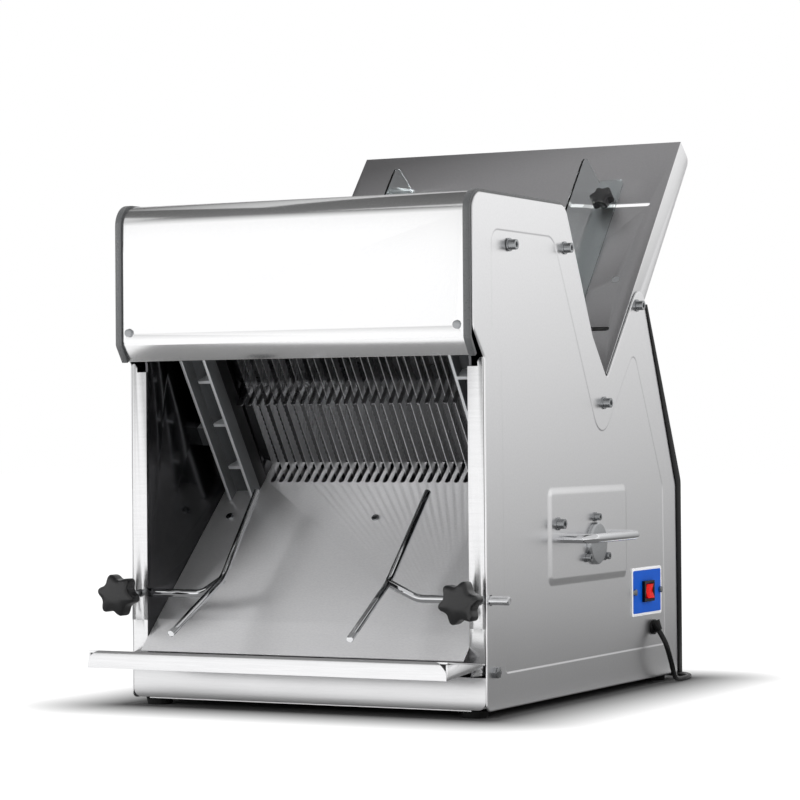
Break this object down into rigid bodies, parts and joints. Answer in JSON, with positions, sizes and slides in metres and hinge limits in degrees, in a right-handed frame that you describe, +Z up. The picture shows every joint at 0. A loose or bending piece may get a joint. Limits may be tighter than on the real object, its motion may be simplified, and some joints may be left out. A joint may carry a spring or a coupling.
{
  "type": "commercial bread slicer",
  "caption": "Countertop gravity-feed bread slicer with reciprocating blade frames, sloping feed tray and delivery plate, sliding loaf guides and a crumb drawer.",
  "frame": {"origin": "on the table, below the middle of the machine's overall width and depth, its mains lead left out", "axes": "+X to the side that carries the switch, +Y to the back, +Z up; slices leave towards -Y"},
  "size_m": [0.5506, 0.8013, 0.6923],
  "materials": {
    "satin_stainless": "fine brushed stainless sheet",
    "polished_stainless": "polished stainless sheet",
    "black_trim": "black edge strip",
    "black_plastic": "moulded black plastic",
    "cast_aluminium": "cast and machined",
    "chromed_rod": "bright round bar and screws",
    "blade_steel": "hardened strip, bright edge",
    "frame_steel": "grey machined steel",
    "motor_paint": "dark painted housing",
    "rubber": "black rubber",
    "blue_plate": "blue enamelled plate with a white rim",
    "red_rocker": "glossy red",
    "clear_acrylic": "clear sheet"
  },
  "bodies": {
    "machine": {"side_cover_right": "satin_stainless", "side_cover_left": "satin_stainless", "inner_wall_right": "polished_stainless", "inner_wall_left": "polished_stainless", "base_plate": "satin_stainless", "feet": "rubber", "cross_bars": "chromed_rod", "side_bolts": "chromed_rod", "front_hood": "polished_stainless", "hood_trims": "black_trim", "panel_screws": "chromed_rod", "rear_cover": "satin_stainless", "rear_trims": "black_trim", "delivery_plate": "satin_stainless", "feed_plate": "satin_stainless", "upper_comb": "satin_stainless", "throat_plates": "polished_stainless", "front_shelf": "satin_stainless", "guide_rail_right": "cast_aluminium", "guide_rail_left": "cast_aluminium", "slide_strips": "black_plastic", "bearing_housings": "cast_aluminium", "bearing_caps": "cast_aluminium", "drive_belt": "rubber", "motor": "motor_paint", "motor_bracket": "frame_steel", "drawer_runners": "satin_stainless", "carry_handle_right": "chromed_rod", "carry_handle_left": "chromed_rod", "switch_plate": "blue_plate", "switch_body": "black_plastic", "cable_gland": "black_plastic", "power_cord": "rubber", "cord_coil": "rubber", "power_plug": "black_plastic", "feed_tray": "satin_stainless", "rod_clamps": "cast_aluminium"},
    "front_blade_set": {"blade_frame_front": "frame_steel", "blades_front": "blade_steel", "blade_holders_front": "blade_steel"},
    "rear_blade_set": {"blade_frame_rear": "frame_steel", "blades_rear": "blade_steel", "blade_holders_rear": "blade_steel"},
    "drive_shaft": {"main_shaft": "chromed_rod", "eccentrics": "frame_steel", "drive_pulley": "cast_aluminium"},
    "front_rods": {"connecting_rods_front": "frame_steel"},
    "rear_rods": {"connecting_rods_rear": "frame_steel"},
    "motor_rotor": {"motor_shaft": "chromed_rod", "motor_pulley": "cast_aluminium"},
    "drawer": {"crumb_drawer": "satin_stainless"},
    "rocker": {"switch_rocker": "red_rocker"},
    "right_loaf_guide": {"feed_guide_right": "clear_acrylic"},
    "left_loaf_guide": {"feed_guide_left": "clear_acrylic"},
    "right_guide_knob": {"feed_knob_right": "black_plastic"},
    "left_guide_knob": {"feed_knob_left": "black_plastic"},
    "right_slice_guide": {"guide_rod_right": "chromed_rod"},
    "left_slice_guide": {"guide_rod_left": "chromed_rod"},
    "right_rod_knob": {"rod_knob_right": "black_plastic"},
    "left_rod_knob": {"rod_knob_left": "black_plastic"}
  },
  "joints": [
    {"name": "front_blades_stroke", "type": "slide", "parent": "machine", "child": "front_blade_set", "axis": [0, -0.5583, 0.8296], "range_m": [-0.015, 0.015]},
    {"name": "rear_blades_stroke", "type": "slide", "parent": "machine", "child": "rear_blade_set", "axis": [0, -0.5583, 0.8296], "range_m": [-0.015, 0.015]},
    {"name": "shaft_turn", "type": "hinge", "parent": "machine", "child": "drive_shaft", "pos_m": [0, 0.03984, 0.184], "axis": [1, 0, 0], "continuous": true},
    {"name": "front_rods_swing", "type": "hinge", "parent": "drive_shaft", "child": "front_rods", "pos_m": [0.199, 0.0274, 0.17563], "axis": [1, 0, 0], "continuous": true},
    {"name": "rear_rods_swing", "type": "hinge", "parent": "drive_shaft", "child": "rear_rods", "pos_m": [0.187, 0.05229, 0.19237], "axis": [1, 0, 0], "continuous": true},
    {"name": "motor_turn", "type": "hinge", "parent": "machine", "child": "motor_rotor", "pos_m": [-0.135, 0.22084, 0.11], "axis": [1, 0, 0], "continuous": true},
    {"name": "drawer_slide", "type": "slide", "parent": "machine", "child": "drawer", "axis": [0, -1, 0], "range_m": [0, 0.25]},
    {"name": "switch_tip", "type": "hinge", "parent": "machine", "child": "rocker", "pos_m": [0.2339, 0.20384, 0.118], "axis": [0, 1, 0], "range_deg": [0, 9]},
    {"name": "right_loaf_guide_slide", "type": "slide", "parent": "machine", "child": "right_loaf_guide", "axis": [1, 0, 0], "range_m": [-0.09, 0.055]},
    {"name": "left_loaf_guide_slide", "type": "slide", "parent": "machine", "child": "left_loaf_guide", "axis": [1, 0, 0], "range_m": [-0.055, 0.09]},
    {"name": "right_guide_knob_turn", "type": "hinge", "parent": "right_loaf_guide", "child": "right_guide_knob", "pos_m": [0.154, 0.25997, 0.61385], "axis": [0, -0.7711, 0.6368], "range_deg": [0, 360]},
    {"name": "left_guide_knob_turn", "type": "hinge", "parent": "left_loaf_guide", "child": "left_guide_knob", "pos_m": [-0.154, 0.25997, 0.61385], "axis": [0, -0.7711, 0.6368], "range_deg": [0, 360]},
    {"name": "right_slice_guide_slide", "type": "slide", "parent": "machine", "child": "right_slice_guide", "axis": [1, 0, 0], "range_m": [-0.017, 0.058]},
    {"name": "left_slice_guide_slide", "type": "slide", "parent": "machine", "child": "left_slice_guide", "axis": [1, 0, 0], "range_m": [-0.058, 0.017]},
    {"name": "right_rod_knob_turn", "type": "hinge", "parent": "machine", "child": "right_rod_knob", "pos_m": [0.2223, -0.30216, 0.1315], "axis": [0, 1, 0], "range_deg": [0, 360]},
    {"name": "left_rod_knob_turn", "type": "hinge", "parent": "machine", "child": "left_rod_knob", "pos_m": [-0.2223, -0.30216, 0.1315], "axis": [0, 1, 0], "range_deg": [0, 360]}
  ],
  "couplings": [
    {"joint": "rear_blades_stroke", "follows": "front_blades_stroke", "ratio": -1},
    {"joint": "front_rods_swing", "follows": "shaft_turn", "ratio": -1},
    {"joint": "rear_rods_swing", "follows": "shaft_turn", "ratio": -1},
    {"joint": "motor_turn", "follows": "shaft_turn", "ratio": 2.5}
  ]
}
